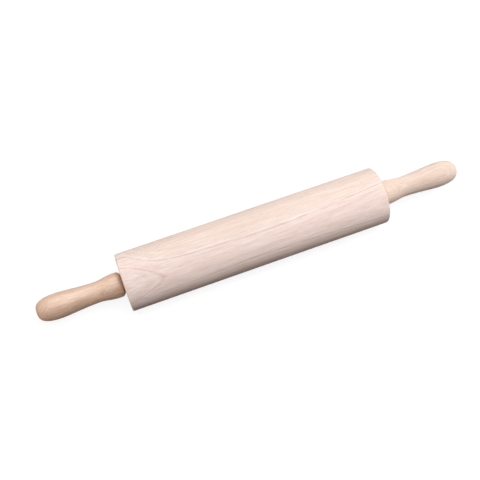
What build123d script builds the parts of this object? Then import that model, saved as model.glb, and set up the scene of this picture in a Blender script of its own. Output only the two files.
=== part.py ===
from build123d import *
import math
import os

# Rolling pin: a straight wooden barrel that turns on two ball bearings round a fixed steel axle
# Lengths are millimetres and angles are degrees
# The axle lies along X and +Z is up, with the origin on the axle halfway along the barrel
# The left end is at -X and the right end at +X, and both ends are alike

# Barrel
barrel_diameter = 82.0
barrel_length = 381.0
barrel_edge_radius = 2.0

# Axle rod, thicker in the middle and turned down at both ends to fit the bearings
rod_diameter = 12.7
rod_in_handle = 72.0
rod_shoulder_chamfer = 0.4
rod_tip_chamfer = 1.2

# Ball bearing
bearing_bore_diameter = 9.525
bearing_outer_diameter = 22.225
bearing_width = 7.142
bearing_corner_chamfer = 0.35
ball_diameter = 3.969
ball_count = 7
race_wall = 1.85
shield_thickness = 0.3
shield_inset = 0.2
shield_seat_depth = 0.75
cage_back = 0.6
cage_lip = 1.2

# Spacer washer and hex jam nut on the end of the rod
washer_diameter = 13.0
washer_thickness = 1.6
nut_across_flats = 14.29
nut_thickness = 5.56
nut_sides = 6
nut_chamfer_angle = 30.0
nut_face_share = 0.95

# Threaded insert pressed into the handle
insert_diameter = 12.7
insert_length = 25.0
insert_groove_count = 5
insert_groove_width = 1.4
insert_groove_depth = 0.5

# Handle, measured outwards from its inner face
handle_length = 121.0
handle_shoulder_radius = 17.7
handle_neck_radius = 14.5
handle_grip_radius = 17.85
handle_tip_radius = 3.9
handle_face_round = 6.5
handle_neck_share = 0.300
handle_grip_share = 0.756
shoulder_pull_shares = (0.47, 0.25)
grip_pull_shares = (0.385, 0.21)
tip_pull_shares = (0.88, 0.43)

# Clearances
handle_gap = 1.0
rod_bore_clearance = 1.6
press_clearance = 0.01
thread_clearance = 0.02
rod_tip_room = 3.0
ball_race_clearance = 0.05
ball_cage_clearance = 0.10
cage_race_clearance = 0.30
shield_land_clearance = 0.30
cut_overrun = 1.0

# Radii worked out from the sizes above
barrel_radius = barrel_diameter / 2
rod_radius = rod_diameter / 2
bearing_bore_radius = bearing_bore_diameter / 2
bearing_outer_radius = bearing_outer_diameter / 2
ball_radius = ball_diameter / 2
pitch_radius = (bearing_bore_radius + bearing_outer_radius) / 2
inner_land_radius = bearing_bore_radius + race_wall
outer_land_radius = bearing_outer_radius - race_wall
race_groove_radius = ball_radius + ball_race_clearance
rod_end_radius = bearing_bore_radius - press_clearance
thread_radius = rod_end_radius + thread_clearance
bearing_seat_radius = bearing_outer_radius + press_clearance
barrel_bore_radius = rod_radius + rod_bore_clearance
insert_radius = insert_diameter / 2
insert_seat_radius = insert_radius + press_clearance

# Places along the axle at the right end, from the handle's inner face inwards
handle_face_place = barrel_length / 2 + handle_gap
nut_seat_place = handle_face_place - nut_thickness
bearing_face_place = nut_seat_place - washer_thickness
rod_shoulder_place = bearing_face_place - bearing_width
bearing_middle_place = bearing_face_place - bearing_width / 2
rod_tip_place = handle_face_place + rod_in_handle

SIDES = {"left": 180, "right": 0}


def turned(outline):
    """Solid turned about the X axis from a closed outline of (distance along X, radius) points."""
    face = make_face(Polyline(*outline, close=True))
    return revolve(face, axis=Axis.X)


def tube(inner_radius, outer_radius, start, end):
    """Plain ring or sleeve round the X axis."""
    return turned([(start, inner_radius), (start, outer_radius), (end, outer_radius), (end, inner_radius)])


def make_barrel():
    """Straight barrel with eased ends, a long bore for the rod and a bearing seat at each end."""
    lying = Rotation(0, 90, 0)
    body = lying * Cylinder(barrel_radius, barrel_length)
    rims = body.edges().filter_by(GeomType.CIRCLE)
    body = fillet(rims, barrel_edge_radius)
    body -= lying * Cylinder(barrel_bore_radius, barrel_length + 2 * cut_overrun)
    seat = tube(0, bearing_seat_radius, rod_shoulder_place, barrel_length / 2 + cut_overrun)
    for turn in SIDES.values():
        body -= Rotation(0, 0, turn) * seat
    return body


def make_axle_rod():
    """Steel rod with a shoulder for each bearing and a long thinner end for each handle."""
    right_half = [
        (rod_shoulder_place - rod_shoulder_chamfer, rod_radius),
        (rod_shoulder_place, rod_radius - rod_shoulder_chamfer),
        (rod_shoulder_place, rod_end_radius),
        (rod_tip_place - rod_tip_chamfer, rod_end_radius),
        (rod_tip_place, rod_end_radius - rod_tip_chamfer),
        (rod_tip_place, 0),
    ]
    left_half = [(-place, radius) for place, radius in reversed(right_half)]
    return turned(left_half + right_half)


def race_groove():
    """Round track that the balls run in, as the ring to be cut from both races."""
    circle = Location((bearing_middle_place, pitch_radius)) * Circle(race_groove_radius)
    return revolve(circle, axis=Axis.X)


def make_inner_race():
    """Inner ring of the bearing, clamped on the rod."""
    inner = bearing_face_place - bearing_width
    outer = bearing_face_place
    chamfer_radius = bearing_bore_radius + bearing_corner_chamfer
    outline = [
        (inner + bearing_corner_chamfer, bearing_bore_radius),
        (inner, chamfer_radius),
        (inner, inner_land_radius),
        (outer, inner_land_radius),
        (outer, chamfer_radius),
        (outer - bearing_corner_chamfer, bearing_bore_radius),
    ]
    return turned(outline) - race_groove()


def make_outer_race():
    """Outer ring of the bearing, pressed into the barrel, with a step for each shield."""
    inner = bearing_face_place - bearing_width
    outer = bearing_face_place
    step_radius = outer_land_radius + shield_seat_depth
    step = shield_inset + shield_thickness
    chamfer_radius = bearing_outer_radius - bearing_corner_chamfer
    outline = [
        (inner, step_radius),
        (inner, chamfer_radius),
        (inner + bearing_corner_chamfer, bearing_outer_radius),
        (outer - bearing_corner_chamfer, bearing_outer_radius),
        (outer, chamfer_radius),
        (outer, step_radius),
        (outer - step, step_radius),
        (outer - step, outer_land_radius),
        (inner + step, outer_land_radius),
        (inner + step, step_radius),
    ]
    return turned(outline) - race_groove()


def make_shield(outward):
    """Thin steel disc in the step of the outer race: outward is 1 by the nut and -1 by the rod's shoulder."""
    middle = bearing_middle_place + outward * (bearing_width / 2 - shield_inset - shield_thickness / 2)
    return tube(
        inner_land_radius + shield_land_clearance,
        outer_land_radius + shield_seat_depth,
        middle - shield_thickness / 2,
        middle + shield_thickness / 2,
    )


def ball_sphere(index, radius):
    """Sphere at one ball's place, poles along the axle, counted from 1 at the +Y side and on towards +Z."""
    turn = Rotation(360 / ball_count * (index - 1), 0, 0)
    place = Location((bearing_middle_place, pitch_radius, 0), (0, 90, 0))
    return turn * place * Sphere(radius)


def make_cage():
    """Crown cage: a ring with one open pocket for each ball."""
    pocket_radius = ball_radius + ball_cage_clearance
    body = tube(
        inner_land_radius + cage_race_clearance,
        outer_land_radius - cage_race_clearance,
        bearing_middle_place - pocket_radius - cage_back,
        bearing_middle_place + cage_lip,
    )
    for index in range(1, ball_count + 1):
        body -= ball_sphere(index, pocket_radius)
    return body


def make_spacer_washer():
    """Washer that presses on the inner race and keeps the nut clear of the shield."""
    return tube(thread_radius, washer_diameter / 2, bearing_face_place, nut_seat_place)


def make_axle_nut():
    """Hex jam nut, chamfered on both faces."""
    hexagon = RegularPolygon(nut_across_flats / 2, nut_sides, major_radius=False)
    prism = Plane.YZ.offset(nut_seat_place) * extrude(hexagon, nut_thickness)
    corner_radius = nut_across_flats / 2 / math.cos(math.pi / nut_sides)
    face_radius = nut_across_flats / 2 * nut_face_share
    drop = (corner_radius - face_radius) * math.tan(math.radians(nut_chamfer_angle))
    outline = [
        (nut_seat_place, thread_radius),
        (nut_seat_place, face_radius),
        (nut_seat_place + drop, corner_radius),
        (handle_face_place - drop, corner_radius),
        (handle_face_place, face_radius),
        (handle_face_place, thread_radius),
    ]
    return prism & turned(outline)


def make_handle_insert():
    """Brass sleeve flush with the handle's inner face, with grooves that grip the wood."""
    body = tube(thread_radius, insert_radius, handle_face_place, handle_face_place + insert_length)
    spacing = insert_length / (insert_groove_count + 1)
    for index in range(1, insert_groove_count + 1):
        middle = handle_face_place + spacing * index
        body -= tube(
            insert_radius - insert_groove_depth,
            insert_radius + cut_overrun,
            middle - insert_groove_width / 2,
            middle + insert_groove_width / 2,
        )
    return body


def handle_curve(start, end, start_pull, end_pull):
    """Curve between two stations of the handle, level with the axle at both."""
    run = end[0] - start[0]
    return Bezier(start, (start[0] + start_pull * run, start[1]), (end[0] - end_pull * run, end[1]), end)


def make_handle():
    """Turned handle: rounded shoulder, narrow neck, fuller grip and a blunt domed tip, with a blind hole."""
    face = handle_face_place
    shoulder = (face + handle_face_round, handle_shoulder_radius)
    neck = (face + handle_neck_share * handle_length, handle_neck_radius)
    grip = (face + handle_grip_share * handle_length, handle_grip_radius)
    tip = (face + handle_length, handle_tip_radius)
    corner = (face, handle_shoulder_radius - handle_face_round)
    tip_run = tip[0] - grip[0]
    tip_rise = grip[1] - tip[1]
    outline = [
        Line((face, 0), corner),
        CenterArc((shoulder[0], corner[1]), handle_face_round, 180, -90),
        handle_curve(shoulder, neck, *shoulder_pull_shares),
        handle_curve(neck, grip, *grip_pull_shares),
        Bezier(
            grip,
            (grip[0] + tip_pull_shares[0] * tip_run, grip[1]),
            (tip[0], tip[1] + tip_pull_shares[1] * tip_rise),
            tip,
        ),
        Line(tip, (tip[0], 0)),
        Line((tip[0], 0), (face, 0)),
    ]
    body = revolve(make_face(outline), axis=Axis.X)
    body -= tube(0, insert_seat_radius, face - cut_overrun, face + insert_length)
    body -= tube(0, thread_radius, face, rod_tip_place + rod_tip_room)
    return body


# One end's pieces, made once for the right end and turned round for the left
end_pieces = {
    "bearing_outer_race": make_outer_race(),
    "bearing_inner_race": make_inner_race(),
    "bearing_cage": make_cage(),
    "bearing_outer_shield": make_shield(1),
    "bearing_inner_shield": make_shield(-1),
    "spacer_washer": make_spacer_washer(),
    "axle_nut": make_axle_nut(),
    "handle_insert": make_handle_insert(),
    "handle": make_handle(),
}
for index in range(1, ball_count + 1):
    end_pieces["bearing_ball_" + str(index)] = ball_sphere(index, ball_radius)

nodes = {"barrel": make_barrel(), "axle_rod": make_axle_rod()}
for side, turn in SIDES.items():
    for name, piece in end_pieces.items():
        nodes[side + "_" + name] = Rotation(0, 0, turn) * piece

os.makedirs("parts", exist_ok=True)
for name, solid in nodes.items():
    export_step(solid, "parts/" + name + ".step")
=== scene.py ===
import math
import bmesh
import bpy
from mathutils import Matrix, Vector


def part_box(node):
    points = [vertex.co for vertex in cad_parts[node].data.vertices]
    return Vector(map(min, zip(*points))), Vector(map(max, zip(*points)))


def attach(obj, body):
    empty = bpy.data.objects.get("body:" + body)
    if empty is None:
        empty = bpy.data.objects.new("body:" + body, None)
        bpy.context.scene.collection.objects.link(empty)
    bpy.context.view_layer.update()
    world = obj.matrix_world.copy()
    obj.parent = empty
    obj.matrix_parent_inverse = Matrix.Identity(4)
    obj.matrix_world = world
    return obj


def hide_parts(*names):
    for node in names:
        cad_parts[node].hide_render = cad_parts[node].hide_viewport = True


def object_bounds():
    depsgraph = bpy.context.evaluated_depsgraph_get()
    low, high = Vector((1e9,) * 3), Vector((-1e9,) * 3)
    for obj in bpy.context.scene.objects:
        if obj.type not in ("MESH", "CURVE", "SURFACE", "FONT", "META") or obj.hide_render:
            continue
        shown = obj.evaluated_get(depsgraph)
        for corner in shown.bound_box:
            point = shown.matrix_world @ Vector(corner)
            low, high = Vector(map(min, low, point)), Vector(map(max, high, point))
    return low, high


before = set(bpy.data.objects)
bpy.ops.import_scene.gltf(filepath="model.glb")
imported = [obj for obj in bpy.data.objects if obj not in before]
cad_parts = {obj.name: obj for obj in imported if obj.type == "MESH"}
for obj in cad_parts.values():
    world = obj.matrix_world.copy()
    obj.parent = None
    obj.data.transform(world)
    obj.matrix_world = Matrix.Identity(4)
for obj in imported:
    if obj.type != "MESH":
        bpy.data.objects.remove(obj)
cad_low, cad_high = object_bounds()

# Rolling pin: a straight wooden barrel on ball bearings, with a turned wooden handle at each end
# Blender works in metres, and the shader trees turn places into millimetres first
MM = 0.001

# Wooden barrel: read off the CAD parts' boxes where a box tells the size, and otherwise the size the CAD has
barrel_half_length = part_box("barrel")[1].x
barrel_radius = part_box("barrel")[1].z
barrel_edge_radius = 2.0 * MM
bearing_seat_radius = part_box("right_bearing_outer_race")[1].z
bearing_seat_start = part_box("right_bearing_outer_race")[0].x
rod_bore_clearance = 1.6 * MM
barrel_bore_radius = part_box("axle_rod")[1].z + rod_bore_clearance

# Turned handle, outwards from its inner face, with its sizes found in the same way
handle_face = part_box("right_handle")[0].x
handle_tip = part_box("right_handle")[1].x
handle_length = handle_tip - handle_face
handle_grip_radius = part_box("right_handle")[1].z
handle_shoulder_radius = 17.7 * MM
handle_neck_radius = 14.5 * MM
handle_tip_radius = 3.9 * MM
handle_face_round = 6.5 * MM
handle_neck_share = 0.300
handle_grip_share = 0.756
shoulder_pull_shares = (0.47, 0.25)
grip_pull_shares = (0.385, 0.21)
tip_pull_shares = (0.88, 0.43)
insert_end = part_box("right_handle_insert")[1].x
insert_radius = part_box("right_handle_insert")[1].z
bearing_bore_diameter = 9.525 * MM
rod_end_radius = bearing_bore_diameter / 2
rod_tip_room = 3.0 * MM
rod_hole_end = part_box("axle_rod")[1].x + rod_tip_room

# Lathe work
turned_segments = 192
curve_steps = 14
sharp_edge = math.radians(35)
merge_distance = 0.005 * MM

# Camera that was fitted to the photograph
camera_azimuth = math.radians(-20.65)
camera_elevation = math.radians(67.87)
camera_roll = math.radians(0.2)
camera_right = -19.06 * MM
camera_up = -2.80 * MM
camera_back = 1086.7 * MM
camera_focal_pixels = 774.8
photo_pixels = 480
camera_sensor = 36.0
camera_nearest = 0.05
camera_farthest = 20.0

# Stage and light: each panel leans from overhead towards the front and the right end
floor_size = 6.0
floor_level = cad_low.z
floor_near = 0.5
floor_far = 1.4
floor_glow = 0.86
floor_shade = 0.2
floor_bounce_colour = (0.088, 0.064, 0.056, 1)
sky_strength = 0.03
sky_colour = (1.0, 0.82, 0.78, 1)
panel_distance = 1.5
long_panel = (1.8, 0.7)
end_panel = (0.7, 0.4)
near_panel = (0.5, 0.3)
near_distance = 0.8
broad_panel = (1.8, 2.4)
key_lean = (math.radians(6.5), math.radians(7))
key_power = 22.4
back_lean = (math.radians(-78), 0.0)
back_power = 10.9
end_lean = math.radians(74)
end_power = 7.0
near_lean = (math.radians(51), math.radians(60))
near_power = 0.68
gloss_lean = (math.radians(-22), math.radians(7))
gloss_power = 240.0

# Fine relief of each surface: strength and depth of its bump
wood_relief = (0.35, 0.06 * MM)
metal_relief = (0.15, 0.01 * MM)
ball_relief = (0.02, 0.01 * MM)
nylon_relief = (0.1, 0.02 * MM)

# Sockets of Blender's Mix node when it mixes colours
MIX_FIRST = 6
MIX_SECOND = 7
MIX_RESULT = 2

# Kinds of socket in the shader groups
NUMBER = "NodeSocketFloat"
PLACE = "NodeSocketVector"
COLOUR = "NodeSocketColor"

# Blender's noise: the span that nearly all of it lies in, and its middle
NOISE_SPAN = (0.3, 0.7)
NOISE_MIDDLE = 0.5

# Handle length that makes a Bezier curve a quarter circle
QUARTER_PULL = 4 / 3 * (math.sqrt(2) - 1)

WHITE = (1, 1, 1, 1)


class Weaver:
    """Short ways to add nodes to one tree and to join them."""

    def __init__(self, tree):
        self.tree = tree

    def add(self, kind, **settings):
        node = self.tree.nodes.new(kind)
        for name, value in settings.items():
            setattr(node, name, value)
        return node

    def feed(self, socket, value):
        """Joins a socket to another one, or sets it to a plain value."""
        if isinstance(value, bpy.types.NodeSocket):
            self.tree.links.new(value, socket)
        else:
            socket.default_value = value

    def math(self, operation, *values, clamp=False):
        node = self.add("ShaderNodeMath", operation=operation, use_clamp=clamp)
        for socket, value in zip(node.inputs, values):
            self.feed(socket, value)
        return node.outputs[0]

    def vector(self, operation, *values):
        node = self.add("ShaderNodeVectorMath", operation=operation)
        for socket, value in zip(node.inputs, values):
            self.feed(socket, value)
        gives_number = operation in ("LENGTH", "DISTANCE")
        return node.outputs["Value" if gives_number else "Vector"]

    def split(self, place):
        node = self.add("ShaderNodeSeparateXYZ")
        self.feed(node.inputs[0], place)
        return node.outputs

    def joined(self, x, y, z):
        node = self.add("ShaderNodeCombineXYZ")
        for socket, value in zip(node.inputs, (x, y, z)):
            self.feed(socket, value)
        return node.outputs[0]


class ShaderWeaver(Weaver):
    """The same for shader trees, with textures and colours."""

    def noise(self, place, detail=2.0):
        node = self.add("ShaderNodeTexNoise", noise_dimensions="3D")
        self.feed(node.inputs["Vector"], place)
        node.inputs["Scale"].default_value = 1.0
        node.inputs["Detail"].default_value = detail
        return node.outputs["Fac"]

    def noise_along(self, value, detail=1.0):
        """Noise along one number."""
        node = self.add("ShaderNodeTexNoise", noise_dimensions="1D")
        self.feed(node.inputs["W"], value)
        node.inputs["Scale"].default_value = 1.0
        node.inputs["Detail"].default_value = detail
        return node.outputs["Fac"]

    def stretched_noise(self, place, length, width, detail=2.0):
        """Noise of streaks that run along X: their length and width in the place's own units."""
        factors = (1 / length, 1 / width, 1 / width)
        return self.noise(self.vector("MULTIPLY", place, factors), detail)

    def scaled_noise(self, place, scale, detail=2.0):
        return self.noise(self.vector("MULTIPLY", place, (scale, scale, scale)), detail)

    def streaks(self, place, size, rise, strength=1.0, detail=2.0):
        """Streaks of one length and width: 0 where their noise is under the rise, and strength over it."""
        return self.ramp(self.stretched_noise(place, *size, detail), *rise, 0.0, strength)

    def millimetres(self, place):
        return self.vector("MULTIPLY", place, (1 / MM, 1 / MM, 1 / MM))

    def average(self, first, second):
        return self.math("ADD", self.math("MULTIPLY", first, 0.5), self.math("MULTIPLY", second, 0.5))

    def seen_or_lighting(self, seen, lighting):
        """One shader for rays from the camera, off gloss or through clear things, and one for the rest."""
        path = self.add("ShaderNodeLightPath")
        share = self.math("ADD", path.outputs["Is Camera Ray"], path.outputs["Is Glossy Ray"])
        share = self.math("ADD", share, path.outputs["Is Transmission Ray"], clamp=True)
        node = self.add("ShaderNodeMixShader")
        for socket, value in zip(node.inputs, (share, lighting, seen)):
            self.feed(socket, value)
        return node.outputs[0]

    def chance(self, value):
        """Random share that stays the same for the same number."""
        node = self.add("ShaderNodeTexWhiteNoise", noise_dimensions="1D")
        self.feed(node.inputs["W"], value)
        return node.outputs["Value"]

    def ramp(self, value, low, high, to_low=0.0, to_high=1.0):
        """Maps low to high smoothly onto to_low to to_high, clamped at both ends."""
        node = self.add("ShaderNodeMapRange", interpolation_type="SMOOTHSTEP")
        for socket, number in zip(node.inputs, (value, low, high, to_low, to_high)):
            self.feed(socket, number)
        return node.outputs["Result"]

    def bell(self, value, centre, half_width):
        """1 where value is at centre, falling to 0 a few half widths away."""
        off = self.math("DIVIDE", self.math("SUBTRACT", value, centre), half_width)
        return self.math("EXPONENT", self.math("MULTIPLY", self.math("MULTIPLY", off, off), -1.0))

    def mix(self, share, first, second, mode="MIX"):
        node = self.add("ShaderNodeMix", data_type="RGBA", blend_type=mode, clamp_factor=True)
        self.feed(node.inputs["Factor"], share)
        self.feed(node.inputs[MIX_FIRST], first)
        self.feed(node.inputs[MIX_SECOND], second)
        return node.outputs[MIX_RESULT]

    def stain(self, colour, mark, strength, tint):
        """Takes a colour towards a tint where the mark is."""
        return self.mix(self.math("MULTIPLY", mark, strength), colour, tint)


def shader_group(name, inputs, outputs):
    """Empty shader group with named sockets: its weaver, its input sockets and its output sockets."""
    tree = bpy.data.node_groups.new(name, "ShaderNodeTree")
    for label, kind, value in inputs:
        socket = tree.interface.new_socket(label, in_out="INPUT", socket_type=kind)
        socket.default_value = value
    for label, kind in outputs:
        tree.interface.new_socket(label, in_out="OUTPUT", socket_type=kind)
    start = tree.nodes.new("NodeGroupInput")
    end = tree.nodes.new("NodeGroupOutput")
    return ShaderWeaver(tree), start.outputs, end.inputs


def place_group(weaver, tree, values):
    """A group in a material, with its own values."""
    node = weaver.add("ShaderNodeGroup")
    node.node_tree = tree
    for label, value in values.items():
        weaver.feed(node.inputs[label], value)
    return node.outputs


def linear(red, green, blue):
    """A colour given as 0 to 255 screen values, as the shader wants it."""
    def one(value):
        share = value / 255
        if share <= 0.04045:
            return share / 12.92
        return ((share + 0.055) / 1.055) ** 2.4
    return (one(red), one(green), one(blue), 1.0)


def bent_pith(weaver, given, x):
    """Place of the pith level with x: it tilts, and curves away from the axle towards both ends."""
    left = weaver.math("MAXIMUM", weaver.math("SUBTRACT", given["Left Bend Start"], x), 0.0)
    right = weaver.math("MAXIMUM", weaver.math("SUBTRACT", x, given["Right Bend Start"]), 0.0)
    left_bend = weaver.math("MULTIPLY", weaver.math("MULTIPLY", left, left), given["Left Bend"])
    right_bend = weaver.math("MULTIPLY", weaver.math("MULTIPLY", right, right), given["Right Bend"])
    bend = weaver.math("ADD", left_bend, right_bend)
    bend = weaver.math("ADD", bend, weaver.math("MULTIPLY", x, given["Tilt"]))
    away = weaver.vector("NORMALIZE", given["Pith"])
    bent = weaver.vector("MULTIPLY", away, weaver.joined(bend, bend, bend))
    return weaver.vector("ADD", given["Pith"], bent)


def make_growth_rings():
    """Where a point lies in the tree that the blank was cut from, in mm: its distance from a bent pith,
    and its place as (along the trunk, out from the pith, round the pith), which the fibres follow."""
    weaver, given, result = shader_group(
        "Growth Rings",
        [
            ("Place", PLACE, (0, 0, 0)),
            ("Pith", PLACE, (0, 0, -60)),
            ("Left Bend Start", NUMBER, -100.0),
            ("Left Bend", NUMBER, 0.0),
            ("Right Bend Start", NUMBER, 0.0),
            ("Right Bend", NUMBER, 0.0),
            ("Tilt", NUMBER, 0.0),
            ("Swirl", PLACE, (0, 0, 0)),
            ("Swirl Reach", NUMBER, 30.0),
            ("Swirl Push", NUMBER, 0.0),
            ("Waver", NUMBER, 0.6),
        ],
        [("Ring Distance", NUMBER), ("Fibre Place", PLACE)],
    )
    place = weaver.millimetres(given["Place"])
    x, y, z = weaver.split(place)
    pith_place = weaver.split(bent_pith(weaver, given, x))
    across_y = weaver.math("SUBTRACT", y, pith_place[1])
    across_z = weaver.math("SUBTRACT", z, pith_place[2])
    distance = weaver.vector("LENGTH", weaver.joined(0.0, across_y, across_z))
    off_swirl = weaver.vector("DISTANCE", place, given["Swirl"])
    swirl = weaver.math("MULTIPLY", weaver.bell(off_swirl, 0.0, given["Swirl Reach"]), given["Swirl Push"])
    soft = weaver.stretched_noise(place, length=70.0, width=22.0, detail=1.0)
    waver = weaver.math("MULTIPLY", weaver.math("SUBTRACT", soft, NOISE_MIDDLE), given["Waver"])
    total = weaver.math("ADD", weaver.math("ADD", distance, swirl), waver)
    weaver.feed(result["Ring Distance"], total)
    around = weaver.math("MULTIPLY", weaver.math("ARCTAN2", across_y, across_z), distance)
    weaver.feed(result["Fibre Place"], weaver.joined(x, total, around))
    return weaver.tree


def wood_zones(weaver, given):
    """Colour of the broad zones of paler and pinker wood, with a step at one ring."""
    drift_width = 8.0
    drift_share = 0.4
    step_share = 0.6
    step_half_width = 0.8
    ring = given["Ring Distance"]
    drift = weaver.noise_along(weaver.math("DIVIDE", ring, drift_width), detail=2.0)
    cloud = weaver.stretched_noise(given["Fibre Place"], length=90.0, width=14.0)
    drifting = weaver.ramp(weaver.average(drift, cloud), *NOISE_SPAN, 0.0, drift_share)
    step_start = weaver.math("SUBTRACT", given["Zone Edge"], step_half_width)
    step_end = weaver.math("ADD", given["Zone Edge"], step_half_width)
    step = weaver.math("MULTIPLY", weaver.ramp(ring, step_start, step_end), step_share)
    return weaver.mix(weaver.math("ADD", step, drifting), given["Early Wood"], given["Late Wood"])


def yearly_rings(weaver, given):
    """The dark edge that ends each year's ring, and a random share that stays the same in one year."""
    uneven_width = 11.0
    edge_begins = 0.55
    edge_full = 0.93
    edge_drops = 0.95
    ring = given["Ring Distance"]
    uneven = weaver.noise_along(weaver.math("DIVIDE", ring, uneven_width))
    phase = weaver.math("ADD", weaver.math("DIVIDE", ring, given["Ring Spacing"]), uneven)
    share = weaver.math("FRACT", phase)
    year = weaver.chance(weaver.math("FLOOR", phase))
    rise = weaver.ramp(share, edge_begins, edge_full)
    fall = weaver.ramp(share, edge_drops, 1.0, 1.0, 0.0)
    return weaver.math("MULTIPLY", rise, fall), year


def ring_line(weaver, given, place, patchy, half_width, strengths, patch_start=0.0):
    """Line along one ring, which goes from its least to its most strength with the patches."""
    strength = weaver.ramp(patchy, patch_start, 1.0, *strengths)
    return weaver.math("MULTIPLY", weaver.bell(given["Ring Distance"], place, half_width), strength)


def mark_named_rings(weaver, given, colour):
    """Rings that stand out: a pale band with a thin dark line, a plain dark line that fades towards the
    right end, and a faint one."""
    pale_before = 0.35
    dark_after = 0.20
    fade_start = 10.0
    fade_end = 120.0
    fibre = given["Fibre Place"]
    patchy = weaver.streaks(fibre, size=(22.0, 9.0), rise=(0.35, 0.65))
    pale_place = weaver.math("SUBTRACT", given["Bold Ring"], pale_before)
    dark_place = weaver.math("ADD", given["Bold Ring"], dark_after)
    pale = ring_line(weaver, given, pale_place, patchy, half_width=0.36, strengths=(0.40, 0.64))
    dark = ring_line(weaver, given, dark_place, patchy, half_width=0.20, strengths=(0.16, 0.46))
    second = ring_line(weaver, given, given["Second Ring"], patchy, half_width=0.16, strengths=(0.24, 0.50))
    third = ring_line(
        weaver, given, given["Third Ring"], patchy, half_width=0.16, strengths=(0.0, 0.12), patch_start=0.3
    )
    fading = weaver.ramp(weaver.split(fibre)[0], fade_start, fade_end, 1.0, 0.0)
    second = weaver.math("MULTIPLY", second, fading)
    colour = weaver.mix(pale, colour, WHITE, "SOFT_LIGHT")
    for mark in (dark, second, third):
        colour = weaver.mix(mark, colour, given["Line Colour"])
    return colour


def mark_fibres(weaver, given, colour):
    """Streaks, pores and ray flecks: the colour, all dark streaks, the fine ones alone, and the pores.
    Each size is a length along the trunk and a width, in millimetres."""
    fibre = given["Fibre Place"]
    broad = weaver.streaks(fibre, size=(100.0, 3.2), rise=(0.35, 0.70), strength=0.26)
    long = weaver.streaks(fibre, size=(45.0, 1.2), rise=(0.38, 0.66), strength=0.46)
    short = weaver.streaks(fibre, size=(12.0, 1.1), rise=(0.36, 0.66), strength=0.28, detail=1.0)
    fine = weaver.streaks(fibre, size=(24.0, 0.7), rise=(0.35, 0.70), strength=0.34)
    pale = weaver.streaks(fibre, size=(50.0, 1.0), rise=(0.52, 0.72), strength=0.60)
    pore = weaver.streaks(fibre, size=(2.6, 0.20), rise=(0.66, 0.74), detail=1.0)
    fleck = weaver.streaks(fibre, size=(1.5, 0.45), rise=(0.70, 0.78), detail=0.0)
    streak = broad
    for more in (long, short, fine):
        streak = weaver.math("ADD", streak, more)
    colour = weaver.stain(colour, streak, given["Streak Strength"], given["Line Colour"])
    lift = weaver.math("MULTIPLY", pale, given["Streak Strength"])
    colour = weaver.mix(lift, colour, WHITE, "SOFT_LIGHT")
    colour = weaver.stain(colour, pore, given["Pore Strength"], given["Pore Colour"])
    colour = weaver.stain(colour, fleck, given["Fleck Strength"], given["Line Colour"])
    return colour, streak, fine, pore


def mark_end_grain(weaver, given, colour, edge, year, pore):
    """Darker ends with rays that run out from the pith: the colour, and how far each point faces an end."""
    end_facing = (0.45, 0.95)
    ray_scale = (0.0, 0.11, 1.6)
    ray_rise = (0.4, 0.7)
    ray_strength = 0.35
    year_strengths = (0.15, 0.6)
    pore_strength = 0.4
    end_strength = 0.8
    facing_along = weaver.split(given["Facing"])[0]
    end = weaver.ramp(weaver.math("ABSOLUTE", facing_along), *end_facing)
    rays = weaver.noise(weaver.vector("MULTIPLY", given["Fibre Place"], ray_scale))
    rays = weaver.ramp(rays, *ray_rise, 0.0, ray_strength)
    end_colour = weaver.mix(rays, given["End Colour"], given["Line Colour"])
    year_mark = weaver.math("MULTIPLY", edge, weaver.ramp(year, 0.0, 1.0, *year_strengths))
    end_colour = weaver.mix(year_mark, end_colour, given["Line Colour"])
    end_colour = weaver.stain(end_colour, pore, pore_strength, given["Pore Colour"])
    return weaver.stain(colour, end, end_strength, end_colour), end


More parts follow.
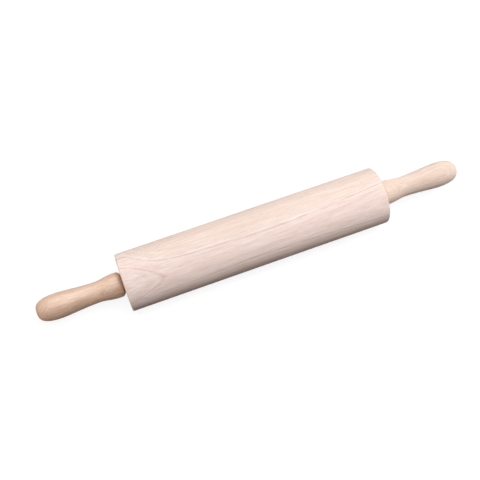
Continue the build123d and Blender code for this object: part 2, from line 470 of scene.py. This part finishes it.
def make_wood_figure():
    """Colour, roughness and height of bare wood: rings, zones, streaks, pores, ray flecks and end grain."""
    streak_roughness = 0.08
    end_roughness = 0.12
    ring_depth = 0.3
    weaver, given, result = shader_group(
        "Wood Figure",
        [
            ("Ring Distance", NUMBER, 0.0),
            ("Fibre Place", PLACE, (0, 0, 0)),
            ("Facing", PLACE, (0, 0, 1)),
            ("Early Wood", COLOUR, (0.9, 0.8, 0.7, 1)),
            ("Late Wood", COLOUR, (0.8, 0.7, 0.6, 1)),
            ("Line Colour", COLOUR, (0.6, 0.4, 0.3, 1)),
            ("Pore Colour", COLOUR, (0.4, 0.25, 0.15, 1)),
            ("End Colour", COLOUR, (0.6, 0.45, 0.33, 1)),
            ("Ring Spacing", NUMBER, 3.0),
            ("Ring Strength", NUMBER, 0.3),
            ("Streak Strength", NUMBER, 0.3),
            ("Pore Strength", NUMBER, 0.3),
            ("Fleck Strength", NUMBER, 0.2),
            ("Zone Edge", NUMBER, -1000.0),
            ("Bold Ring", NUMBER, -1000.0),
            ("Second Ring", NUMBER, -1000.0),
            ("Third Ring", NUMBER, -1000.0),
            ("Dull", NUMBER, 0.6),
        ],
        [("Colour", COLOUR), ("Roughness", NUMBER), ("Height", NUMBER)],
    )
    edge, year = yearly_rings(weaver, given)
    line = weaver.math("MULTIPLY", edge, weaver.math("MULTIPLY", year, year))
    colour = wood_zones(weaver, given)
    colour = weaver.stain(colour, line, given["Ring Strength"], given["Line Colour"])
    colour = mark_named_rings(weaver, given, colour)
    colour, streak, fine, pore = mark_fibres(weaver, given, colour)
    colour, end = mark_end_grain(weaver, given, colour, edge, year, pore)
    rough = weaver.math("ADD", given["Dull"], weaver.math("MULTIPLY", streak, streak_roughness))
    rough = weaver.math("ADD", rough, weaver.math("MULTIPLY", end, end_roughness))
    depth = weaver.math("ADD", weaver.math("ADD", fine, pore), weaver.math("MULTIPLY", line, ring_depth))
    weaver.feed(result["Colour"], colour)
    weaver.feed(result["Roughness"], rough)
    weaver.feed(result["Height"], weaver.math("SUBTRACT", 1.0, depth))
    return weaver.tree


def make_turning_marks():
    """Tool marks on turned or ground metal: fine rings round the axle, and slow blotches of tone."""
    blotch_scale = 0.15
    weaver, given, result = shader_group(
        "Turning Marks",
        [
            ("Place", PLACE, (0, 0, 0)),
            ("Bright", COLOUR, (0.7, 0.7, 0.7, 1)),
            ("Dull", COLOUR, (0.5, 0.5, 0.5, 1)),
            ("Mark Width", NUMBER, 0.15),
            ("Smooth", NUMBER, 0.2),
            ("Rough", NUMBER, 0.4),
        ],
        [("Colour", COLOUR), ("Roughness", NUMBER), ("Height", NUMBER)],
    )
    place = weaver.millimetres(given["Place"])
    x, y, z = weaver.split(place)
    out = weaver.vector("LENGTH", weaver.joined(0.0, y, z))
    along = weaver.math("DIVIDE", x, given["Mark Width"])
    outward = weaver.math("DIVIDE", out, given["Mark Width"])
    marks = weaver.noise(weaver.joined(along, outward, 0.0))
    blotch = weaver.scaled_noise(place, blotch_scale, detail=3.0)
    tone = weaver.average(marks, blotch)
    share = weaver.ramp(tone, *NOISE_SPAN)
    weaver.feed(result["Colour"], weaver.mix(share, given["Dull"], given["Bright"]))
    weaver.feed(result["Roughness"], weaver.ramp(tone, *NOISE_SPAN, given["Smooth"], given["Rough"]))
    weaver.feed(result["Height"], marks)
    return weaver.tree


growth_rings = make_growth_rings()
wood_figure = make_wood_figure()
turning_marks = make_turning_marks()


def empty_material(name):
    """Material with nothing in its tree."""
    material = bpy.data.materials.new(name)
    material.use_nodes = True
    material.node_tree.nodes.clear()
    return material, ShaderWeaver(material.node_tree)


def new_material(name):
    """Material whose tree holds only its shader and output."""
    material, weaver = empty_material(name)
    shader = weaver.add("ShaderNodeBsdfPrincipled")
    output = weaver.add("ShaderNodeOutputMaterial")
    weaver.feed(output.inputs["Surface"], shader.outputs[0])
    return material, weaver, shader


def bump(weaver, shader, height, relief):
    """Fine relief on the shader's surface."""
    strength, depth = relief
    node = weaver.add("ShaderNodeBump")
    node.inputs["Strength"].default_value = strength
    node.inputs["Distance"].default_value = depth
    weaver.feed(node.inputs["Height"], height)
    weaver.feed(shader.inputs["Normal"], node.outputs[0])


def wood_material(name, rings, figure, specular):
    """Bare wood: rings says how the blank sat in the tree, figure how it looks, and specular its gloss."""
    material, weaver, shader = new_material(name)
    coordinates = weaver.add("ShaderNodeTexCoord")
    grown = place_group(weaver, growth_rings, {"Place": coordinates.outputs["Object"], **rings})
    given = {
        "Ring Distance": grown["Ring Distance"],
        "Fibre Place": grown["Fibre Place"],
        "Facing": coordinates.outputs["Normal"],
    }
    look = place_group(weaver, wood_figure, {**given, **figure})
    weaver.feed(shader.inputs["Base Color"], look["Colour"])
    weaver.feed(shader.inputs["Roughness"], look["Roughness"])
    shader.inputs["Specular IOR Level"].default_value = specular
    bump(weaver, shader, look["Height"], wood_relief)
    return material


def barrel_wood():
    """Pale creamy blank cut well off the pith, so that the rings draw long nested curves on its front."""
    ring_side = math.radians(35.9)
    pith_distance = 40.0
    bold_ring = 79.48
    second_ring_further = 3.33
    third_ring_further = 2.0
    swirl_along = -178.0
    swirl_side = math.radians(-98)
    swirl_out = barrel_radius / MM
    return wood_material(
        "barrel_wood",
        {
            "Pith": (0, pith_distance * math.sin(ring_side), -pith_distance * math.cos(ring_side)),
            "Left Bend Start": -130.0,
            "Left Bend": 0.00068,
            "Right Bend Start": -60.0,
            "Right Bend": 0.00008,
            "Tilt": -0.0105,
            "Swirl": (swirl_along, -swirl_out * math.sin(swirl_side), swirl_out * math.cos(swirl_side)),
            "Swirl Reach": 39.6,
            "Swirl Push": 34.1,
            "Waver": 0.5,
        },
        {
            "Early Wood": linear(242, 225, 214),
            "Late Wood": linear(252, 235, 229),
            "Line Colour": linear(198, 153, 133),
            "Pore Colour": linear(140, 96, 76),
            "End Colour": linear(234, 206, 180),
            "Ring Spacing": 2.32,
            "Ring Strength": 0.37,
            "Streak Strength": 0.37,
            "Pore Strength": 0.22,
            "Fleck Strength": 0.16,
            "Zone Edge": bold_ring,
            "Bold Ring": bold_ring,
            "Second Ring": bold_ring + second_ring_further,
            "Third Ring": bold_ring + third_ring_further,
            "Dull": 0.58,
        },
        specular=0.02,
    )


def left_handle_wood():
    """Tan blank with faint speckle."""
    return wood_material(
        "left_handle_wood",
        {"Pith": (0, 22.0, -34.0), "Waver": 1.4},
        {
            "Early Wood": linear(216, 187, 167),
            "Late Wood": linear(209, 177, 153),
            "Line Colour": linear(164, 109, 73),
            "Pore Colour": linear(118, 72, 44),
            "End Colour": linear(198, 154, 122),
            "Ring Spacing": 2.3,
            "Ring Strength": 0.45,
            "Streak Strength": 0.40,
            "Pore Strength": 0.45,
            "Fleck Strength": 0.40,
            "Dull": 0.52,
        },
        specular=0.32,
    )


def right_handle_wood():
    """Paler blank whose rings lie nearly flat on its front, and close round its tip."""
    return wood_material(
        "right_handle_wood",
        {"Pith": (0, 19.0, -46.0), "Tilt": -0.048, "Waver": 1.2},
        {
            "Early Wood": linear(237, 223, 212),
            "Late Wood": linear(232, 213, 200),
            "Line Colour": linear(198, 150, 118),
            "Pore Colour": linear(140, 92, 64),
            "End Colour": linear(232, 200, 170),
            "Ring Spacing": 1.7,
            "Ring Strength": 0.42,
            "Streak Strength": 0.36,
            "Pore Strength": 0.38,
            "Fleck Strength": 0.32,
            "Dull": 0.54,
        },
        specular=0.11,
    )


# Finishes of the metal pieces: a brighter and a duller colour, the width of the tool marks in millimetres,
# the least and the most roughness, and the relief
METAL_FINISHES = {
    "race_steel": ((0.66, 0.66, 0.68, 1), (0.50, 0.50, 0.52, 1), 0.05, 0.14, 0.26, metal_relief),
    "ball_steel": ((0.80, 0.80, 0.82, 1), (0.72, 0.72, 0.75, 1), 0.60, 0.04, 0.09, ball_relief),
    "axle_steel": ((0.64, 0.64, 0.65, 1), (0.48, 0.48, 0.49, 1), 0.12, 0.22, 0.40, metal_relief),
    "shield_steel": ((0.62, 0.63, 0.65, 1), (0.46, 0.47, 0.49, 1), 0.08, 0.20, 0.34, metal_relief),
    "plated_steel": ((0.72, 0.74, 0.77, 1), (0.60, 0.60, 0.58, 1), 0.30, 0.24, 0.42, metal_relief),
    "insert_brass": ((0.83, 0.63, 0.30, 1), (0.66, 0.45, 0.18, 1), 0.10, 0.20, 0.38, metal_relief),
}

# Material of each kind of CAD node that stays
NODE_MATERIALS = {
    "axle_rod": "axle_steel",
    "bearing_outer_race": "race_steel",
    "bearing_inner_race": "race_steel",
    "bearing_cage": "cage_nylon",
    "bearing_ball": "ball_steel",
    "shield": "shield_steel",
    "spacer_washer": "plated_steel",
    "axle_nut": "plated_steel",
    "handle_insert": "insert_brass",
}


def metal_material(name, bright, dull, mark_width, smooth, rough, relief):
    """Turned, ground or plated metal."""
    material, weaver, shader = new_material(name)
    coordinates = weaver.add("ShaderNodeTexCoord")
    look = place_group(weaver, turning_marks, {
        "Place": coordinates.outputs["Object"],
        "Bright": bright,
        "Dull": dull,
        "Mark Width": mark_width,
        "Smooth": smooth,
        "Rough": rough,
    })
    shader.inputs["Metallic"].default_value = 1.0
    weaver.feed(shader.inputs["Base Color"], look["Colour"])
    weaver.feed(shader.inputs["Roughness"], look["Roughness"])
    bump(weaver, shader, look["Height"], relief)
    return material


def nylon_material():
    """Moulded nylon of the ball cages: warm white, a little cloudy."""
    cloud_scale = 0.6
    grain_scale = 6.0
    roughness = (0.42, 0.58)
    material, weaver, shader = new_material("cage_nylon")
    coordinates = weaver.add("ShaderNodeTexCoord")
    place = weaver.millimetres(coordinates.outputs["Object"])
    cloud = weaver.scaled_noise(place, cloud_scale, detail=3.0)
    grain = weaver.scaled_noise(place, grain_scale)
    share = weaver.ramp(cloud, *NOISE_SPAN)
    colour = weaver.mix(share, linear(226, 219, 196), linear(236, 231, 214))
    weaver.feed(shader.inputs["Base Color"], colour)
    weaver.feed(shader.inputs["Roughness"], weaver.ramp(grain, *NOISE_SPAN, *roughness))
    shader.inputs["Subsurface Weight"].default_value = 0.1
    bump(weaver, shader, grain, nylon_relief)
    return material


def dress_cad_nodes():
    """Puts the hidden hardware's own finishes on the CAD nodes that stay."""
    materials = {name: metal_material(name, *finish) for name, finish in METAL_FINISHES.items()}
    materials["cage_nylon"] = nylon_material()
    for name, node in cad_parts.items():
        for kind, material_name in NODE_MATERIALS.items():
            if kind in name:
                for slot in node.material_slots:
                    slot.material = materials[material_name]


def outline_object(name, corners):
    """Open outline as a Bezier curve in the XY plane: X runs along the axle and Y is the radius.
    Each corner is (point, handle towards the last corner, handle towards the next).
    A handle that is missing is the point itself."""
    curve = bpy.data.curves.new(name, "CURVE")
    curve.dimensions = "2D"
    curve.resolution_u = curve_steps
    spline = curve.splines.new("BEZIER")
    spline.bezier_points.add(len(corners) - 1)
    for bezier, (point, before, after) in zip(spline.bezier_points, corners):
        bezier.co = (*point, 0)
        bezier.handle_left_type = "VECTOR" if before is None else "FREE"
        bezier.handle_right_type = "VECTOR" if after is None else "FREE"
        bezier.handle_left = (*(before or point), 0)
        bezier.handle_right = (*(after or point), 0)
    outline = bpy.data.objects.new(name, curve)
    bpy.context.scene.collection.objects.link(outline)
    return outline


def barrel_corners():
    """Once round the barrel's wall: outside and its eased edges, then back through the seats and bore."""
    end = barrel_half_length
    radius = barrel_radius
    round_off = barrel_edge_radius
    pull = round_off * (1 - QUARTER_PULL)
    seat = bearing_seat_start
    return [
        ((-end, bearing_seat_radius), None, None),
        ((-end, radius - round_off), None, (-end, radius - pull)),
        ((-end + round_off, radius), (-end + pull, radius), None),
        ((end - round_off, radius), None, (end - pull, radius)),
        ((end, radius - round_off), (end, radius - pull), None),
        ((end, bearing_seat_radius), None, None),
        ((seat, bearing_seat_radius), None, None),
        ((seat, barrel_bore_radius), None, None),
        ((-seat, barrel_bore_radius), None, None),
        ((-seat, bearing_seat_radius), None, None),
        ((-end, bearing_seat_radius), None, None),
    ]


def handle_corners():
    """From the hole's end out through the hole, over the handle and back to the axle at the tip."""
    face = handle_face
    shoulder = (face + handle_face_round, handle_shoulder_radius)
    neck = (face + handle_neck_share * handle_length, handle_neck_radius)
    grip = (face + handle_grip_share * handle_length, handle_grip_radius)
    tip = (handle_tip, handle_tip_radius)
    corner = (face, handle_shoulder_radius - handle_face_round)
    pull = handle_face_round * QUARTER_PULL
    neck_run = neck[0] - shoulder[0]
    grip_run = grip[0] - neck[0]
    tip_run = tip[0] - grip[0]
    tip_rise = grip[1] - tip[1]
    before_shoulder = (shoulder[0] - pull, shoulder[1])
    after_shoulder = (shoulder[0] + shoulder_pull_shares[0] * neck_run, shoulder[1])
    before_neck = (neck[0] - shoulder_pull_shares[1] * neck_run, neck[1])
    after_neck = (neck[0] + grip_pull_shares[0] * grip_run, neck[1])
    before_grip = (grip[0] - grip_pull_shares[1] * grip_run, grip[1])
    after_grip = (grip[0] + tip_pull_shares[0] * tip_run, grip[1])
    return [
        ((rod_hole_end, 0), None, None),
        ((rod_hole_end, rod_end_radius), None, None),
        ((insert_end, rod_end_radius), None, None),
        ((insert_end, insert_radius), None, None),
        ((face, insert_radius), None, None),
        (corner, None, (corner[0], corner[1] + pull)),
        (shoulder, before_shoulder, after_shoulder),
        (neck, before_neck, after_neck),
        (grip, before_grip, after_grip),
        (tip, (tip[0], tip[1] + tip_pull_shares[1] * tip_rise), None),
        ((tip[0], 0), None, None),
    ]


def outline_points(weaver, given):
    """Points of the outline, and how many there are."""
    shape = weaver.add("GeometryNodeObjectInfo")
    weaver.feed(shape.inputs["Object"], given["Outline"])
    points = weaver.add("GeometryNodeCurveToPoints", mode="EVALUATED")
    weaver.feed(points.inputs["Curve"], shape.outputs["Geometry"])
    count = weaver.add("GeometryNodeAttributeDomainSize", component="POINTCLOUD")
    weaver.feed(count.inputs[0], points.outputs["Points"])
    return points.outputs["Points"], count.outputs["Point Count"]


def turned_sheet(weaver, given, points, count):
    """Sheet bent round the axle, with one row for each point and one column for each step round, merged
    shut where it meets itself."""
    columns = weaver.math("ADD", given["Segments"], 1.0)
    sheet = weaver.add("GeometryNodeMeshGrid")
    weaver.feed(sheet.inputs["Vertices X"], count)
    weaver.feed(sheet.inputs["Vertices Y"], columns)
    index = weaver.add("GeometryNodeInputIndex").outputs[0]
    # The added half keeps rounding from moving a point to another row
    row = weaver.math("FLOOR", weaver.math("DIVIDE", weaver.math("ADD", index, 0.5), columns))
    column = weaver.math("SUBTRACT", index, weaver.math("MULTIPLY", row, columns))
    sample = weaver.add("GeometryNodeSampleIndex", data_type="FLOAT_VECTOR", domain="POINT")
    weaver.feed(sample.inputs["Geometry"], points)
    weaver.feed(sample.inputs["Value"], weaver.add("GeometryNodeInputPosition").outputs[0])
    weaver.feed(sample.inputs["Index"], row)
    along, radius = weaver.split(sample.outputs["Value"])[:2]
    side = weaver.math("SUBTRACT", 1.0, weaver.math("MULTIPLY", given["Flip"], 2.0))
    angle = weaver.math("MULTIPLY", weaver.math("DIVIDE", column, given["Segments"]), 2 * math.pi)
    place = weaver.joined(
        weaver.math("MULTIPLY", along, side),
        weaver.math("MULTIPLY", radius, weaver.math("COSINE", angle)),
        weaver.math("MULTIPLY", radius, weaver.math("SINE", angle)),
    )
    moved = weaver.add("GeometryNodeSetPosition")
    weaver.feed(moved.inputs["Geometry"], sheet.outputs["Mesh"])
    weaver.feed(moved.inputs["Position"], place)
    merged = weaver.add("GeometryNodeMergeByDistance")
    weaver.feed(merged.inputs["Geometry"], moved.outputs[0])
    weaver.feed(merged.inputs["Distance"], given["Merge Distance"])
    return merged.outputs[0]


def finished_mesh(weaver, given, mesh):
    """The mesh in its material, shaded smooth all over but at the sharp corners."""
    smooth = weaver.add("GeometryNodeSetShadeSmooth", domain="FACE")
    weaver.feed(smooth.inputs[0], mesh)
    edge_angle = weaver.add("GeometryNodeInputMeshEdgeAngle").outputs["Unsigned Angle"]
    creased = weaver.add("GeometryNodeSetShadeSmooth", domain="EDGE")
    weaver.feed(creased.inputs[0], smooth.outputs[0])
    weaver.feed(creased.inputs["Selection"], weaver.math("GREATER_THAN", edge_angle, given["Sharp Edge"]))
    creased.inputs["Shade Smooth"].default_value = False
    realized = weaver.add("GeometryNodeRealizeInstances")
    weaver.feed(realized.inputs[0], creased.outputs[0])
    painted = weaver.add("GeometryNodeSetMaterial")
    weaver.feed(painted.inputs["Geometry"], realized.outputs[0])
    weaver.feed(painted.inputs["Material"], given["Wood"])
    return painted.outputs[0]


def make_lathe_tree():
    """Geometry Nodes tree that turns an outline about the X axis."""
    tree = bpy.data.node_groups.new("Lathe", "GeometryNodeTree")
    for label, kind in (
        ("Geometry", "NodeSocketGeometry"),
        ("Outline", "NodeSocketObject"),
        ("Segments", "NodeSocketInt"),
        ("Flip", "NodeSocketBool"),
        ("Sharp Edge", "NodeSocketFloat"),
        ("Merge Distance", "NodeSocketFloat"),
        ("Wood", "NodeSocketMaterial"),
    ):
        tree.interface.new_socket(label, in_out="INPUT", socket_type=kind)
    tree.interface.new_socket("Geometry", in_out="OUTPUT", socket_type="NodeSocketGeometry")
    weaver = Weaver(tree)
    given = weaver.add("NodeGroupInput").outputs
    result = weaver.add("NodeGroupOutput").inputs
    points, count = outline_points(weaver, given)
    mesh = turned_sheet(weaver, given, points, count)
    weaver.feed(result[0], finished_mesh(weaver, given, mesh))
    return tree


lathe_tree = make_lathe_tree()


def set_inputs(modifier, values):
    """Sets a modifier's inputs by their identifiers, before the object is first evaluated."""
    identifiers = {
        item.name: item.identifier
        for item in modifier.node_group.interface.items_tree
        if item.item_type == "SOCKET" and item.in_out == "INPUT"
    }
    for label, value in values.items():
        modifier[identifiers[label]] = value


def plain_mesh(piece):
    """Turns the modifiers' result into the piece's own mesh, with its faces pointing outwards."""
    graph = bpy.context.evaluated_depsgraph_get()
    mesh = bpy.data.meshes.new_from_object(piece.evaluated_get(graph), depsgraph=graph)
    piece.modifiers.clear()
    piece.data = mesh
    shape = bmesh.new()
    shape.from_mesh(mesh)
    bmesh.ops.recalc_face_normals(shape, faces=shape.faces)
    shape.to_mesh(mesh)
    shape.free()


def turned_piece(name, corners, material, flip=False):
    """Wooden piece turned about the axle from its outline."""
    outline = outline_object(name + "_outline", corners)
    piece = bpy.data.objects.new(name, bpy.data.meshes.new(name))
    bpy.context.scene.collection.objects.link(piece)
    modifier = piece.modifiers.new("Lathe", "NODES")
    modifier.node_group = lathe_tree
    set_inputs(modifier, {
        "Outline": outline,
        "Segments": turned_segments,
        "Flip": flip,
        "Sharp Edge": sharp_edge,
        "Merge Distance": merge_distance,
        "Wood": material,
    })
    plain_mesh(piece)
    bpy.data.objects.remove(outline)
    return piece


def make_barrel():
    """Barrel, which rides on its own body in place of the CAD one."""
    piece = turned_piece("barrel_turned", barrel_corners(), barrel_wood())
    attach(piece, "barrel")
    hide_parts("barrel")


def make_handles():
    """Both handles, which ride on the fixed body with the axle in place of the CAD ones."""
    for side, flip, wood in (("left", True, left_handle_wood()), ("right", False, right_handle_wood())):
        piece = turned_piece(side + "_handle_turned", handle_corners(), wood, flip)
        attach(piece, "axle_and_handles")
        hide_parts(side + "_handle")


def floor_material():
    """Paper that the camera sees as white, faintly shaded near the pin, and that throws little light back."""
    material, weaver = empty_material("floor_paper")
    coordinates = weaver.add("ShaderNodeTexCoord")
    away = weaver.vector("LENGTH", coordinates.outputs["Object"])
    shade = weaver.ramp(away, floor_near, floor_far, floor_shade, 0.0)
    seen = weaver.add("ShaderNodeBsdfDiffuse")
    weaver.feed(seen.inputs["Color"], weaver.joined(shade, shade, shade))
    glow = weaver.add("ShaderNodeEmission")
    weaver.feed(glow.inputs["Strength"], weaver.ramp(away, floor_near, floor_far, floor_glow, 1.0))
    both = weaver.add("ShaderNodeAddShader")
    weaver.feed(both.inputs[0], seen.outputs[0])
    weaver.feed(both.inputs[1], glow.outputs[0])
    bounced = weaver.add("ShaderNodeBsdfDiffuse")
    bounced.inputs["Color"].default_value = floor_bounce_colour
    output = weaver.add("ShaderNodeOutputMaterial")
    weaver.feed(output.inputs["Surface"], weaver.seen_or_lighting(both.outputs[0], bounced.outputs[0]))
    return material


def make_floor():
    """Pale floor under the pin."""
    shape = bmesh.new()
    bmesh.ops.create_grid(shape, x_segments=1, y_segments=1, size=floor_size / 2)
    mesh = bpy.data.meshes.new("floor")
    shape.to_mesh(mesh)
    shape.free()
    floor = bpy.data.objects.new("floor", mesh)
    floor.location.z = floor_level
    bpy.context.scene.collection.objects.link(floor)
    mesh.materials.append(floor_material())


def make_sky():
    """World that lights softly from all round and looks white."""
    world = bpy.data.worlds.new("sky")
    bpy.context.scene.world = world
    world.use_nodes = True
    world.node_tree.nodes.clear()
    weaver = ShaderWeaver(world.node_tree)
    light = weaver.add("ShaderNodeBackground")
    light.inputs["Color"].default_value = sky_colour
    light.inputs["Strength"].default_value = sky_strength
    white = weaver.add("ShaderNodeBackground")
    white.inputs["Color"].default_value = WHITE
    white.inputs["Strength"].default_value = 1.0
    output = weaver.add("ShaderNodeOutputWorld")
    weaver.feed(output.inputs["Surface"], weaver.seen_or_lighting(white.outputs[0], light.outputs[0]))


def make_panel(name, lean_front, lean_right, power, size, along, distance=panel_distance, gloss_only=False):
    """Large soft light with its long side along one of the pin's directions."""
    lamp = bpy.data.lights.new(name, "AREA")
    lamp.shape = "RECTANGLE"
    lamp.size, lamp.size_y = size
    lamp.energy = power
    panel = bpy.data.objects.new(name, lamp)
    panel.visible_camera = False
    panel.visible_diffuse = not gloss_only
    towards = Vector((math.tan(lean_right), -math.tan(lean_front), 1)).normalized()
    side = (along - towards * towards.dot(along)).normalized()
    stance = Matrix((side, towards.cross(side), towards)).transposed()
    panel.matrix_world = Matrix.Translation(towards * distance) @ stance.to_4x4()
    bpy.context.scene.collection.objects.link(panel)


def make_lights():
    """Key from above, a low light behind, one for each end, a small near one low at the front right,
    and one that only shows as gloss."""
    lengthways = Vector((1, 0, 0))
    crossways = Vector((0, 1, 0))
    make_panel("key_panel", *key_lean, key_power, long_panel, lengthways)
    make_panel("back_panel", *back_lean, back_power, long_panel, lengthways)
    make_panel("left_panel", 0.0, -end_lean, end_power, end_panel, crossways)
    make_panel("right_panel", 0.0, end_lean, end_power, end_panel, crossways)
    make_panel("near_panel", *near_lean, near_power, near_panel, lengthways, distance=near_distance)
    make_panel("gloss_panel", *gloss_lean, gloss_power, broad_panel, lengthways, gloss_only=True)


def make_camera():
    """Camera at the place and angle that were fitted to the photograph's outline."""
    lens = bpy.data.cameras.new("camera")
    lens.sensor_width = camera_sensor
    lens.lens = camera_focal_pixels / photo_pixels * camera_sensor
    lens.clip_start = camera_nearest
    lens.clip_end = camera_farthest
    camera = bpy.data.objects.new("camera", lens)
    turn, rise = camera_azimuth, camera_elevation
    right = Vector((math.cos(turn), math.sin(turn), 0))
    back = Vector((math.sin(turn) * math.cos(rise), -math.cos(turn) * math.cos(rise), math.sin(rise)))
    up = back.cross(right)
    roll = Matrix.Rotation(camera_roll, 3, "Z")
    place = right * camera_right + up * camera_up + back * camera_back
    stance = Matrix((right, up, back)).transposed() @ roll
    camera.matrix_world = Matrix.Translation(place) @ stance.to_4x4()
    bpy.context.scene.collection.objects.link(camera)
    bpy.context.scene.camera = camera


make_camera()
make_floor()
make_sky()
make_lights()
dress_cad_nodes()
make_barrel()
make_handles()

scene = bpy.context.scene
scene.view_settings.view_transform = "Standard"
